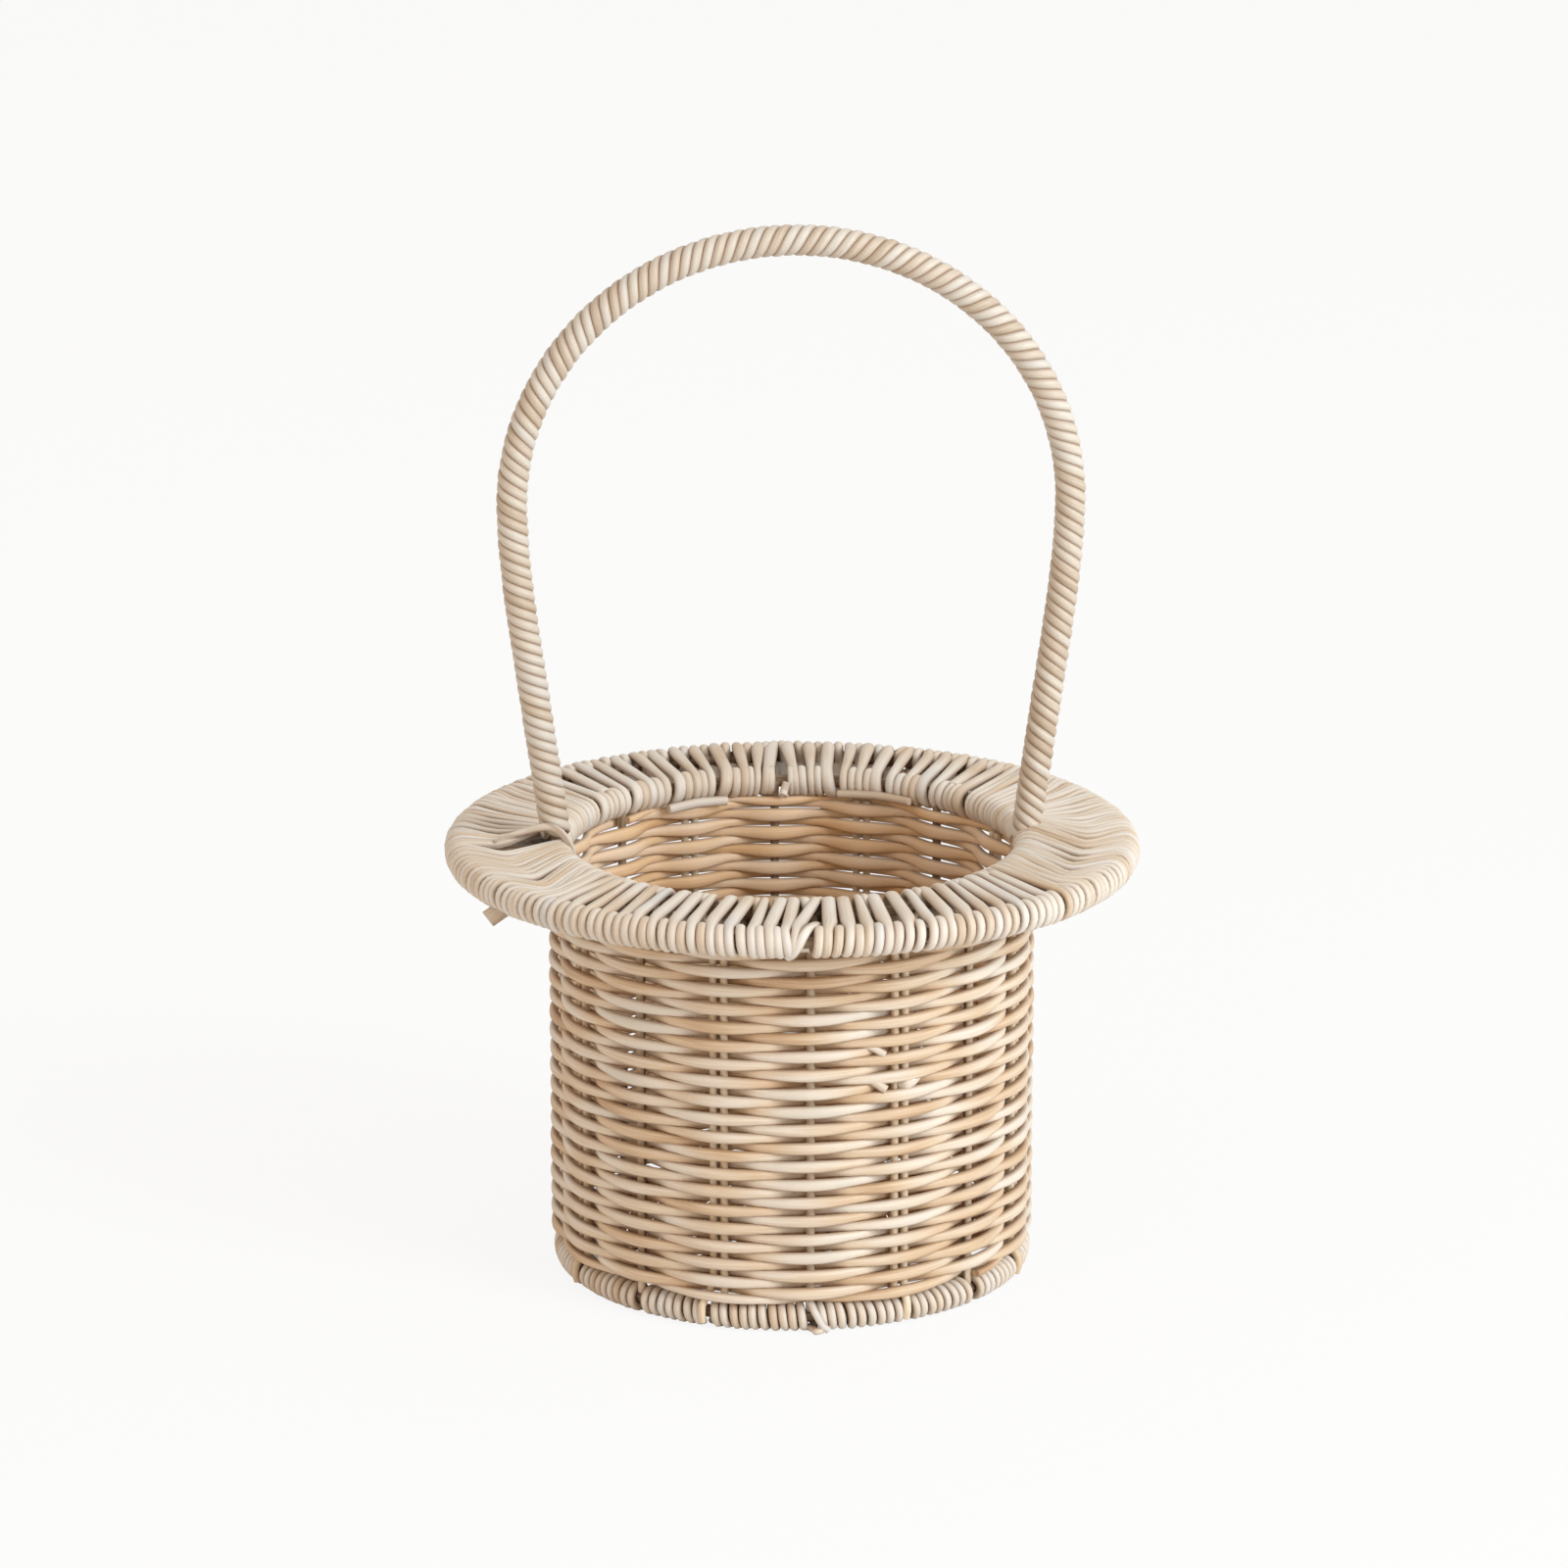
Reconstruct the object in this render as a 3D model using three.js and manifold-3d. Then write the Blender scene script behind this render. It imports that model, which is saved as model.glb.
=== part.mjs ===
// Hat-shaped flower basket: a round woven wall, a wide laced brim and a fixed arched handle.
// Millimetres, +Z up. The origin is at the bottom centre and the handle stands in the XZ plane.
import * as THREE from 'three';
import { mergeVertices } from 'three/addons/utils/BufferGeometryUtils.js';
import Module from 'manifold-3d';

const wasm = await Module();
wasm.setup();

// Driving dimensions of the whole basket
const bodyDiameter = 170; // outside of the woven wall
const brimDiameter = 242.5; // outside of the laced brim
const overallHeight = 369; // resting face to the top of the handle
const clearance = 0.3; // gap between pieces that touch

// The weaving strand, which is also wound and laced round the hoops
const strandWidth = 2.9;
const strandThickness = 2.9;
const rowGap = 0.37; // between one row of the weave and the next
const weaverTurns = 20; // of each of the two weavers

// The frame of rods
const uprightCount = 8; // single dark uprights, with a pair of light canes between every two
const uprightDiameter = 2.8;
const caneDiameter = 2.6;
const caneSpacing = 3; // between the two canes of a pair
const hoopRodDiameter = 3.9;
const baseHoopInset = 6.9; // centre line of the foot ring, inside the wall's outer face
const topHoopInset = 2.7; // centre line of the mouth ring, inside the wall's outer face
const spokeCount = 4; // rods that hold the brim hoop off the mouth ring

// Windings
const lacingPerSector = 5; // times that a lacing strand goes round both hoops, in half a bay
const lacingWrapRadius = 4.5; // hoop centre to the middle of the lacing strand at the rim
const lacingCornerDegrees = 67; // from a hoop's rim to where the lacing leaves it for the other one
const lacingTurnShare = 0.15; // of a step round the brim, used up by each quarter turn at a hoop
const baseWrapRadius = 4.33; // hoop centre to the middle of the foot ring's strand, at its corners
const baseTurnsPerBay = 7;
const footFlat = 0.5; // depth of the flat that the foot ring stands on

// The handle
const handleDiameter = 10.8; // over its winding
const handleRodDiameter = 4.4;
const handleInset = 1; // a leg's foot, inside the centre line of the mouth ring
const handleWidth = 192; // between the centre lines of its legs at the widest place
const handleWidestHeight = 272.3;
const handleLean = 0.1415; // how far a leg leans out for each unit of height
const handleStraight = 73; // height of the straight part of a leg
const handleStarts = 2; // ridges wound side by side, each a pair of strands
const handleRidges = 72; // along the whole handle
const handleRidgeDepth = 0.9;
const handleRunUp = 30; // height of winding below its foot, which is cut off level there

// The bottom mat
const matThickness = 2.6;
const matRings = 8; // concentric rows that its upper face shows
const matRingDepth = 0.7;

// Facets round a rod, a hoop, the mat and the handle, and along the handle
const rodSides = 6;
const hoopFacets = 40;
const matFacets = 24;
const handleSides = 6;
const handleSteps = 40;

// Sizes that follow from those above
const halfThick = strandThickness / 2;
const halfWide = strandWidth / 2;
const rowPitch = strandWidth + rowGap;
const stakeCount = 2 * uprightCount;
const stakeStep = (2 * Math.PI) / stakeCount;
const front = -Math.PI / 2; // the first upright faces -Y
const baseHoopRadius = bodyDiameter / 2 - baseHoopInset;
const baseHoopHeight = baseWrapRadius * Math.cos(Math.PI / 6) + halfThick - footFlat;
const baseWrapTop = baseHoopHeight + baseWrapRadius * Math.cos(Math.PI / 6) + halfThick;
const weaveBottom = baseWrapTop + clearance;
const weaveTop = weaveBottom + 2 * weaverTurns * rowPitch + strandWidth;
const lacingCorner = THREE.MathUtils.degToRad(lacingCornerDegrees);
const lacingReach = lacingWrapRadius * Math.sin(lacingCorner) + halfThick;
const hoopHeight = weaveTop + clearance + lacingReach;
const lacingTop = hoopHeight + lacingReach;
const topHoopRadius = bodyDiameter / 2 - topHoopInset;
const rimTip = lacingWrapRadius + halfThick / Math.cos(lacingCorner / 2);
const brimHoopRadius = brimDiameter / 2 - rimTip;

const sheen = { metalness: 0, roughness: 0.55 };
const finishes = {
  rod: new THREE.MeshStandardMaterial({ color: 0x6b5a4c, metalness: 0.2, roughness: 0.6 }),
  cane: new THREE.MeshStandardMaterial({ color: 0xc9b193, ...sheen }),
  weaver: new THREE.MeshStandardMaterial({ color: 0xc2a27e, ...sheen }),
  lacing: new THREE.MeshStandardMaterial({ color: 0xe2d6c4, ...sheen }),
};

// A point at a radius, an angle about Z and a height
function around(radius, angle, height) {
  return new THREE.Vector3(radius * Math.cos(angle), radius * Math.sin(angle), height);
}

// A closed geometry from its points and triangles, with its faces turned outwards as judged by
// the sign of its volume
function closedGeometry(points, index) {
  let volume = 0;
  for (let i = 0; i < index.length; i += 3) {
    const normal = new THREE.Vector3().crossVectors(points[index[i + 1]], points[index[i + 2]]);
    volume += points[index[i]].dot(normal);
  }
  if (volume < 0) {
    for (let i = 0; i < index.length; i += 3) {
      [index[i], index[i + 1]] = [index[i + 1], index[i]];
    }
  }
  const positions = points.flatMap((point) => point.toArray());
  const geometry = new THREE.BufferGeometry();
  geometry.setAttribute('position', new THREE.Float32BufferAttribute(positions, 3));
  geometry.setIndex(index);
  return geometry;
}

// A closed geometry from rings of points joined one to the next, with a flat cap at each end
function joinRings(rings) {
  const sides = rings[0].length;
  const index = [];
  for (let i = 0; i + 1 < rings.length; i++) {
    for (let j = 0; j < sides; j++) {
      const a = i * sides + j;
      const b = i * sides + ((j + 1) % sides);
      index.push(a, b, b + sides, a, b + sides, a + sides);
    }
  }
  const last = (rings.length - 1) * sides;
  for (let j = 1; j + 1 < sides; j++) {
    index.push(0, j + 1, j);
    index.push(last, last + j, last + j + 1);
  }
  return closedGeometry(rings.flat(), index);
}

// A strand of rectangular section through the points. side(i) is the direction that its width lies
// along at point i, and each bend is mitred, so the strand keeps its section round the corner.
function strand(points, side) {
  const last = points.length - 1;
  const corners = [[1, 1], [1, -1], [-1, -1], [-1, 1]];
  const rings = points.map((point, i) => {
    const before = points[Math.max(i - 1, 0)];
    const after = points[Math.min(i + 1, last)];
    const arrive = (i > 0 ? point : after).clone().sub(before).normalize();
    const leave = after.clone().sub(i < last ? point : before).normalize();
    const along = arrive.clone().add(leave).normalize();
    const wide = side(i).clone();
    wide.addScaledVector(along, -wide.dot(along)).normalize();
    const thick = new THREE.Vector3().crossVectors(along, wide);
    const inward = leave.clone().sub(arrive).normalize();
    const stretch = 1 / along.dot(leave) - 1;
    return corners.map(([w, t]) => {
      const offset = wide.clone().multiplyScalar(w * halfWide).addScaledVector(thick, t * halfThick);
      return point.clone().add(offset.addScaledVector(inward, offset.dot(inward) * stretch));
    });
  });
  return joinRings(rings);
}

// The least gap between a winding's strand and itself, measured on points along its centre line
// that lie more than half a loop apart
function gapToItself(points, pointsPerLoop) {
  const parts = 4; // of each straight piece
  const samples = [];
  for (let i = 0; i + 1 < points.length; i++) {
    for (let k = 0; k < parts; k++) {
      samples.push(points[i].clone().lerp(points[i + 1], k / parts));
    }
  }
  let least = Infinity;
  for (let i = 0; i < samples.length; i++) {
    for (let j = i + Math.ceil((pointsPerLoop * parts) / 2); j < samples.length; j++) {
      least = Math.min(least, samples[i].distanceTo(samples[j]));
    }
  }
  return least - strandWidth;
}

function toSolid(geometry) {
  const bare = geometry.clone();
  bare.deleteAttribute('normal');
  bare.deleteAttribute('uv');
  const merged = mergeVertices(bare, 1e-4);
  const vertProperties = new Float32Array(merged.getAttribute('position').array);
  const triVerts = new Uint32Array(merged.getIndex().array);
  return new wasm.Manifold(new wasm.Mesh({ numProp: 3, vertProperties, triVerts }));
}

function toGeometry(solid) {
  const mesh = solid.getMesh();
  const geometry = new THREE.BufferGeometry();
  geometry.setAttribute('position', new THREE.BufferAttribute(mesh.vertProperties, 3));
  geometry.setIndex(new THREE.BufferAttribute(mesh.triVerts, 1));
  return geometry;
}

const basket = new THREE.Group();

function add(name, geometry, finish) {
  const mesh = new THREE.Mesh(geometry, finishes[finish]);
  mesh.name = name;
  basket.add(mesh);
  return mesh;
}

// A straight rod between two points
function rod(name, from, to, diameter, finish) {
  const length = from.distanceTo(to);
  const geometry = new THREE.CylinderGeometry(diameter / 2, diameter / 2, length, rodSides);
  const mesh = add(name, geometry, finish);
  mesh.position.copy(from).lerp(to, 0.5);
  mesh.quaternion.setFromUnitVectors(new THREE.Vector3(0, 1, 0), to.clone().sub(from).normalize());
}

// The three hoops are bent rods. A facet's middle lies inside the true circle, so the corners
// are put as far outside it.
const hoopSpread = 2 / (1 + Math.cos(Math.PI / hoopFacets));
function hoop(name, radius, height) {
  const geometry = new THREE.TorusGeometry(radius * hoopSpread, hoopRodDiameter / 2, rodSides, hoopFacets);
  add(name, geometry, 'rod').position.z = height;
}
hoop('base_hoop', baseHoopRadius, baseHoopHeight);
hoop('top_hoop', topHoopRadius, hoopHeight);
hoop('brim_hoop', brimHoopRadius, hoopHeight);

// How far a weaver's centre line stands off the circle of stakes where it passes outside or
// inside one. The strand bends there, so a pair of canes pushes it further out than one rod.
function standOff(rodDiameter, spacing, bend) {
  const reach = rodDiameter / 2 + clearance + halfThick + (spacing / 2) * Math.sin(bend);
  return reach / Math.cos(bend);
}

const insideUpright = standOff(uprightDiameter, 0, 0);
const insidePair = standOff(caneDiameter, 0, 0);

// The bend outside a stake follows from the stand-off itself, and settles after a few rounds.
// The circle is the one that brings the strand's mitred corner to the wall's outer face.
const settleRounds = 12;
const mitreShare = 0.9; // of a mitred corner's reach, taken by the strand's half thickness
function outside(rodDiameter, spacing, insideNext) {
  let offset = insideUpright;
  let circle = bodyDiameter / 2;
  for (let round = 0; round < settleRounds; round++) {
    const inner = circle - insideNext;
    const rise = circle + offset - inner * Math.cos(stakeStep);
    offset = standOff(rodDiameter, spacing, Math.atan2(rise, inner * Math.sin(stakeStep)));
    circle = bodyDiameter / 2 - offset - halfThick / mitreShare;
  }
  return { offset, circle };
}
const { offset: outsidePair, circle: stakeCircle } = outside(caneDiameter, caneSpacing, insideUpright);
const { offset: outsideUpright } = outside(uprightDiameter, 0, insidePair);

// Stakes stand on one circle: dark uprights from hoop to hoop, and pairs of canes between them
for (let i = 0; i < uprightCount; i++) {
  const angle = front + 2 * i * stakeStep;
  const foot = around(stakeCircle, angle, baseHoopHeight + hoopRodDiameter / 2 + clearance);
  const head = around(stakeCircle, angle, hoopHeight - hoopRodDiameter / 2 - clearance);
  rod(`upright_${i + 1}`, foot, head, uprightDiameter, 'rod');
}
for (let i = 0; i < uprightCount; i++) {
  const angle = front + (2 * i + 1) * stakeStep;
  const aside = around(caneSpacing / 2, angle + Math.PI / 2, 0);
  for (const [letter, sign] of [['a', -1], ['b', 1]]) {
    const foot = around(stakeCircle, angle, weaveBottom).addScaledVector(aside, sign);
    const head = around(stakeCircle, angle, weaveTop).addScaledVector(aside, sign);
    rod(`cane_${i + 1}${letter}`, foot, head, caneDiameter, 'cane');
  }
}

// Spokes join the mouth ring to the brim hoop at every second upright
for (let i = 0; i < spokeCount; i++) {
  const angle = front + (i * 2 * Math.PI) / spokeCount;
  const inner = around(topHoopRadius + hoopRodDiameter / 2 + clearance, angle, hoopHeight);
  const outer = around(brimHoopRadius - hoopRodDiameter / 2 - clearance, angle, hoopHeight);
  rod(`brim_spoke_${i + 1}`, inner, outer, uprightDiameter, 'rod');
}

// Two weavers chase each other up the wall. Each is one unbroken strand that goes outside one
// kind of stake and inside the other, and rises two rows in a turn.
function weaver(name, firstStake, outsideUprights) {
  const points = [];
  for (let i = 0; i <= weaverTurns * stakeCount; i++) {
    const atUpright = (firstStake + i) % 2 === 0;
    const out = atUpright === outsideUprights;
    const far = atUpright ? outsideUpright : outsidePair;
    const near = atUpright ? insideUpright : insidePair;
    const radius = stakeCircle + (out ? far : -near);
    const height = weaveBottom + halfWide + (2 * rowPitch * i) / stakeCount;
    points.push(around(radius, front + (firstStake + i) * stakeStep, height));
  }
  const up = new THREE.Vector3(0, 0, 1);
  add(name, strand(points, () => up), 'weaver');
}
weaver('weaver_a', 0, true);
weaver('weaver_b', uprightCount, false);

// The lacing covers the brim. In each sector one strand runs round both hoops, straight out on
// top and back underneath, one step on. Gaps stay for the uprights, the spokes and the handle.
const uprightGap = uprightDiameter / 2 + clearance + halfWide;
const handleGap = handleRodDiameter / 2 + clearance + halfWide;
function lacing(number, index) {
  const bay = Math.floor((index + 1) / 2); // the upright that the sector starts or ends at
  const atHandle = bay % (uprightCount / 2) === uprightCount / 4;
  const gap = (atHandle ? handleGap : uprightGap) / (topHoopRadius - lacingWrapRadius);
  const step = (stakeStep - gap) / (lacingPerSector + 0.5);
  const startsAtUpright = index % 2 === 0;
  const start = front + index * stakeStep + (startsAtUpright ? gap : step / 2);
  const reachOut = lacingWrapRadius * Math.cos(lacingCorner);
  const rise = lacingWrapRadius * Math.sin(lacingCorner);
  const path = [
    [topHoopRadius - reachOut, 0, rise],
    [brimHoopRadius + reachOut, 0, rise],
    [brimHoopRadius + lacingWrapRadius, lacingTurnShare, 0],
    [brimHoopRadius + reachOut, 2 * lacingTurnShare, -rise],
    [topHoopRadius - reachOut, 1 - 2 * lacingTurnShare, -rise],
    [topHoopRadius - lacingWrapRadius, 1 - lacingTurnShare, 0],
  ];
  const points = [];
  const angles = [];
  for (let i = 0; i < lacingPerSector * path.length + 2; i++) {
    const [radius, share, height] = path[i % path.length];
    const angle = start + (Math.floor(i / path.length) + share) * step;
    angles.push(angle);
    points.push(around(radius, angle, hoopHeight + height));
  }
  const side = (i) => around(1, angles[i] + Math.PI / 2, 0);
  add(`brim_lacing_${number}`, strand(points, side), 'lacing');
  return gapToItself(points, path.length);
}
const lacingGaps = [];
for (let i = 0; i < stakeCount; i++) {
  lacingGaps.push(lacing(i + 1, i));
}
console.log(`least gap of a brim lacing to itself: ${Math.min(...lacingGaps).toFixed(2)} mm`);

// The foot ring is wound between the uprights. Its turns are hexagons with a side down, pressed
// flat where the basket stands.
const wrapSides = 6;
function baseWrap(number, index) {
  const gap = uprightGap / (baseHoopRadius - baseWrapRadius);
  const start = front + 2 * index * stakeStep + gap;
  const steps = wrapSides * baseTurnsPerBay;
  const turn = (2 * stakeStep - 2 * gap) / steps;
  const points = [];
  for (let i = 0; i <= steps; i++) {
    const roll = (i * 2 * Math.PI) / wrapSides;
    const radius = baseHoopRadius - baseWrapRadius * Math.cos(roll);
    points.push(around(radius, start + i * turn, baseHoopHeight + baseWrapRadius * Math.sin(roll)));
  }
  const side = (i) => around(1, start + i * turn + Math.PI / 2, 0);
  const geometry = strand(points, side);
  const at = geometry.getAttribute('position');
  for (let i = 0; i < at.count; i++) {
    at.setZ(i, Math.max(at.getZ(i), 0));
  }
  add(`base_wrap_${number}`, geometry, 'lacing');
  return gapToItself(points, wrapSides);
}
const wrapGaps = [];
for (let i = 0; i < uprightCount; i++) {
  wrapGaps.push(baseWrap(i + 1, i));
}
console.log(`least gap of a base wrap to itself: ${Math.min(...wrapGaps).toFixed(2)} mm`);

// The handle's centre line in the XZ plane: a leaning straight leg, a bend into the widest place
// and half an ellipse over the top, with the same leg on the other side.
const handleRadius = handleDiameter / 2;
const handleFoot = hoopHeight + hoopRodDiameter / 2 + clearance;
const halfWidth = handleWidth / 2;
const archRise = overallHeight - handleRadius - handleWidestHeight;
const lineDivisions = 1000; // for even steps along the line
function handleLine(footHeight) {
  const footX = topHoopRadius - handleInset - (handleFoot - footHeight) * handleLean;
  const bendX = footX + (handleFoot - footHeight + handleStraight) * handleLean;
  const bendZ = handleFoot + handleStraight;
  const cornerZ = bendZ + (halfWidth - bendX) / handleLean;
  const line = new THREE.Path();
  line.arcLengthDivisions = lineDivisions;
  line.moveTo(-footX, footHeight);
  line.lineTo(-bendX, bendZ);
  line.quadraticCurveTo(-halfWidth, cornerZ, -halfWidth, handleWidestHeight);
  line.absellipse(0, handleWidestHeight, halfWidth, archRise, Math.PI, 0, true);
  line.quadraticCurveTo(halfWidth, cornerZ, bendX, bendZ);
  line.lineTo(footX, footHeight);
  return line;
}

// A point round the handle's centre line. Its roll is a share of a turn from the arch's outside.
function handlePoint(line, share, radius, roll) {
  const middle = line.getPointAt(share);
  const along = line.getTangentAt(share);
  const outward = radius * Math.cos(2 * Math.PI * roll);
  const aside = radius * Math.sin(2 * Math.PI * roll);
  return new THREE.Vector3(middle.x - along.y * outward, aside, middle.y + along.x * outward);
}

function handleTube(line, diameter) {
  const rings = [];
  for (let i = 0; i <= handleSteps; i++) {
    const corners = [];
    for (let j = 0; j < handleSides; j++) {
      corners.push(handlePoint(line, i / handleSteps, diameter / 2, j / handleSides));
    }
    rings.push(corners);
  }
  return joinRings(rings);
}

const rodLine = handleLine(handleFoot);
add('handle_rod', handleTube(rodLine, handleRodDiameter), 'rod');

// The winding's outside is a left-handed screw of ridges. Its grid has a valley and a crest for
// each ridge, and the last column meets the first one lead further on, so no ring is closed.
function ridgedScrew(line) {
  const rows = 2 * handleRidges;
  const lead = 2 * handleStarts;
  const total = rows + lead;
  const points = [];
  for (let j = 0; j < handleSides; j++) {
    for (let i = 0; i <= (j === 0 ? total : rows); i++) {
      const share = Math.min((i + (lead * j) / handleSides) / total, 1);
      const radius = handleRadius - (i % 2 === 0 ? handleRidgeDepth : 0);
      points.push(handlePoint(line, share, radius, j / handleSides));
    }
  }
  const number = (i, j) => {
    if (j === 0) return i;
    if (j === handleSides) return i + lead;
    return total + 1 + (j - 1) * (rows + 1) + i;
  };
  const index = [];
  for (let j = 0; j < handleSides; j++) {
    for (let i = 0; i < rows; i++) {
      const [a, b, c, d] = [number(i, j), number(i + 1, j), number(i + 1, j + 1), number(i, j + 1)];
      index.push(a, b, c, a, c, d);
    }
  }
  for (const row of [0, rows]) {
    const middle = points.length;
    const edge = [];
    for (let j = 0; j < handleSides; j++) {
      edge.push(number(row, j));
    }
    for (let i = lead; i > 0; i--) {
      edge.push(number(row + i, 0));
    }
    points.push(handlePoint(line, (row + lead / 2) / total, 0, 0));
    edge.forEach((a, k) => {
      const b = edge[(k + 1) % edge.length];
      index.push(...(row === 0 ? [middle, a, b] : [middle, b, a]));
    });
  }
  return closedGeometry(points, index);
}

// The winding is the screw, cut level above the lacing and bored for the rod
const windingFoot = lacingTop + clearance;
const screw = toSolid(ridgedScrew(handleLine(windingFoot - handleRunUp)));
const belowFoot = new THREE.BoxGeometry(2 * handleWidth, 2 * handleWidth, 2 * handleRunUp)
  .translate(0, 0, windingFoot - handleRunUp);
const boreDiameter = handleRodDiameter + (2 * clearance) / Math.cos(Math.PI / handleSides);
const bore = handleTube(rodLine, boreDiameter);
const winding = screw.subtract(toSolid(belowFoot)).subtract(toSolid(bore));
add('handle_winding', toGeometry(winding), 'lacing');

// The bottom mat lies inside the weave and on the foot ring. Its upper face shows its rows.
const matRadius = stakeCircle - insideUpright - halfThick / Math.cos(stakeStep / 4) - clearance;
const matRow = matRadius / matRings;
const matValley = matThickness - matRingDepth;
const matProfile = [[0, 0], [matRadius, 0], [matRadius, matValley]];
for (let i = 0; i < matRings; i++) {
  matProfile.push([matRadius - (i + 0.5) * matRow, matThickness]);
  matProfile.push([matRadius - (i + 1) * matRow, matValley]);
}
const matGeometry = new THREE.LatheGeometry(matProfile.map(([x, y]) => new THREE.Vector2(x, y)), matFacets);
add('bottom_mat', matGeometry.rotateX(Math.PI / 2), 'weaver').position.z = baseWrapTop;

export default basket;
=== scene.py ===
"""The dressed model of a hat-shaped flower basket: every strand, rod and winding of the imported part
is made again as a fine mesh with its own finish, in metres, with +Z up."""
import math

import bpy
import numpy as np
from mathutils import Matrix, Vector


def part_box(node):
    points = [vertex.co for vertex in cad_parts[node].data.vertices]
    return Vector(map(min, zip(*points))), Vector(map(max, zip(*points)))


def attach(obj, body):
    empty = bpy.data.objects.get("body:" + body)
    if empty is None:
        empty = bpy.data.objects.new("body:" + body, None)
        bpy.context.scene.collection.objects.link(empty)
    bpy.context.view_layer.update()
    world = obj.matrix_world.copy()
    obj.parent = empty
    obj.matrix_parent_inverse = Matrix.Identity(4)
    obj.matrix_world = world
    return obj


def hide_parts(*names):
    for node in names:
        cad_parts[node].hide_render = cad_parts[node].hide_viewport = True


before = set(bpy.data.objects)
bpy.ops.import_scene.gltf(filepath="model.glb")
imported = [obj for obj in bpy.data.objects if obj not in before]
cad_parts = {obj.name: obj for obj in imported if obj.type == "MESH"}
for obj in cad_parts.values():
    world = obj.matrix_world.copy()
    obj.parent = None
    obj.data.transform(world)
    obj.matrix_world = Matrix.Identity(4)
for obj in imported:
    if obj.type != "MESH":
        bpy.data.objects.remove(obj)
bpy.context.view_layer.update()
mm = 0.001


# The camera stands a little left of the front and looks slightly down, from far off, as a long
# lens does. Its focal length and the offset of the axis are in pixels of a square picture.
picture_side = 1600
focal_pixels = 7176.8
axis_offset = 8.19  # that the basket's axis stands right of the picture's middle
sensor_width = 36  # in millimetres, the unit that the camera takes
camera_distance = 2437.7 * mm
camera_turn = math.radians(4.5)
camera_tilt = math.radians(15.79)
aim = Vector((0, 0, 171.79 * mm))
towards_camera = Vector((
    -math.sin(camera_turn) * math.cos(camera_tilt),
    -math.cos(camera_turn) * math.cos(camera_tilt),
    math.sin(camera_tilt),
))
camera = bpy.data.objects.new("camera", bpy.data.cameras.new("camera"))
camera.location = aim + camera_distance * towards_camera
camera.rotation_euler = (-towards_camera).to_track_quat("-Z", "Y").to_euler()
camera.data.sensor_width = sensor_width
camera.data.lens = sensor_width * focal_pixels / picture_side
camera.data.shift_x = -axis_offset / picture_side
bpy.context.scene.collection.objects.link(camera)
bpy.context.scene.camera = camera


# Three hoops of bent rod carry the basket: one in the foot, one at the mouth and one in the brim.
# They are plain round rods under the windings, and show as brown in the gaps beside the uprights.
class Wire:
    """One output of a shader node, which can be added, multiplied and so on like a number."""

    def __init__(self, finish, socket):
        self.finish = finish
        self.socket = socket

    def maths(self, operation, first, second):
        return self.finish.add("Math", {"operation": operation}, {0: first, 1: second})

    def __add__(self, other):
        return self.maths("ADD", self, other)

    def __radd__(self, other):
        return self.maths("ADD", other, self)

    def __sub__(self, other):
        return self.maths("SUBTRACT", self, other)

    def __rsub__(self, other):
        return self.maths("SUBTRACT", other, self)

    def __mul__(self, other):
        return self.maths("MULTIPLY", self, other)

    def __rmul__(self, other):
        return self.maths("MULTIPLY", other, self)

    def __pow__(self, other):
        return self.maths("POWER", self, other)


class Finish:
    """A material made of nodes, or with a holder and its kind the nodes of something else."""

    def __init__(self, name, holder=None, kind="Material"):
        self.holder = holder or bpy.data.materials.new(name)
        self.kind = kind
        self.holder.use_nodes = True
        self.tree = self.holder.node_tree
        self.tree.nodes.clear()

    def add(self, kind, settings, sockets, output=0):
        """One node: its settings first, then a value or a link for each socket. Gives its output."""
        node = self.tree.nodes.new("ShaderNode" + kind)
        for name, value in settings.items():
            if name == "stops":
                ramp = node.color_ramp
                while len(ramp.elements) < len(value):
                    ramp.elements.new(1)
                for element, (place, colour) in zip(ramp.elements, value):
                    element.position = place
                    element.color = colour
            else:
                setattr(node, name, value)
        for name, value in sockets.items():
            if isinstance(value, Wire):
                self.tree.links.new(value.socket, node.inputs[name])
            else:
                node.inputs[name].default_value = value
        return Wire(self, node.outputs[output])

    def mix(self, amount, first, second, blend="MIX"):
        """The first colour turned into the second by an amount, or blended with it."""
        settings = {"data_type": "RGBA", "blend_type": blend}
        return self.add("Mix", settings, {0: amount, 6: first, 7: second}, output=2)

    def grain(self, straight, along, across, detail, shift=(0, 0, 0)):
        """Noise with so many cells to the metre along a strand and across it, moved by a shift."""
        scale = (along, across, across)
        cells = self.add("Mapping", {}, {"Vector": straight, "Location": shift, "Scale": scale})
        return self.add("TexNoise", {}, {"Vector": cells, "Scale": 1, "Detail": detail})

    def close(self, shader):
        """The shader becomes the surface of the holder."""
        surface = self.tree.nodes.new("ShaderNodeOutput" + self.kind)
        self.tree.links.new(shader.socket, surface.inputs["Surface"])


def paint(red, green, blue):
    """A colour in linear light from its usual 0 to 255 values."""
    shares = [channel / 255 for channel in (red, green, blue)]
    return [s / 12.92 if s <= 0.04045 else ((s + 0.055) / 1.055) ** 2.4 for s in shares] + [1]


def unit(rows):
    """Each row of an array divided by its length."""
    return rows / np.linalg.norm(rows, axis=-1, keepdims=True)


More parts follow.
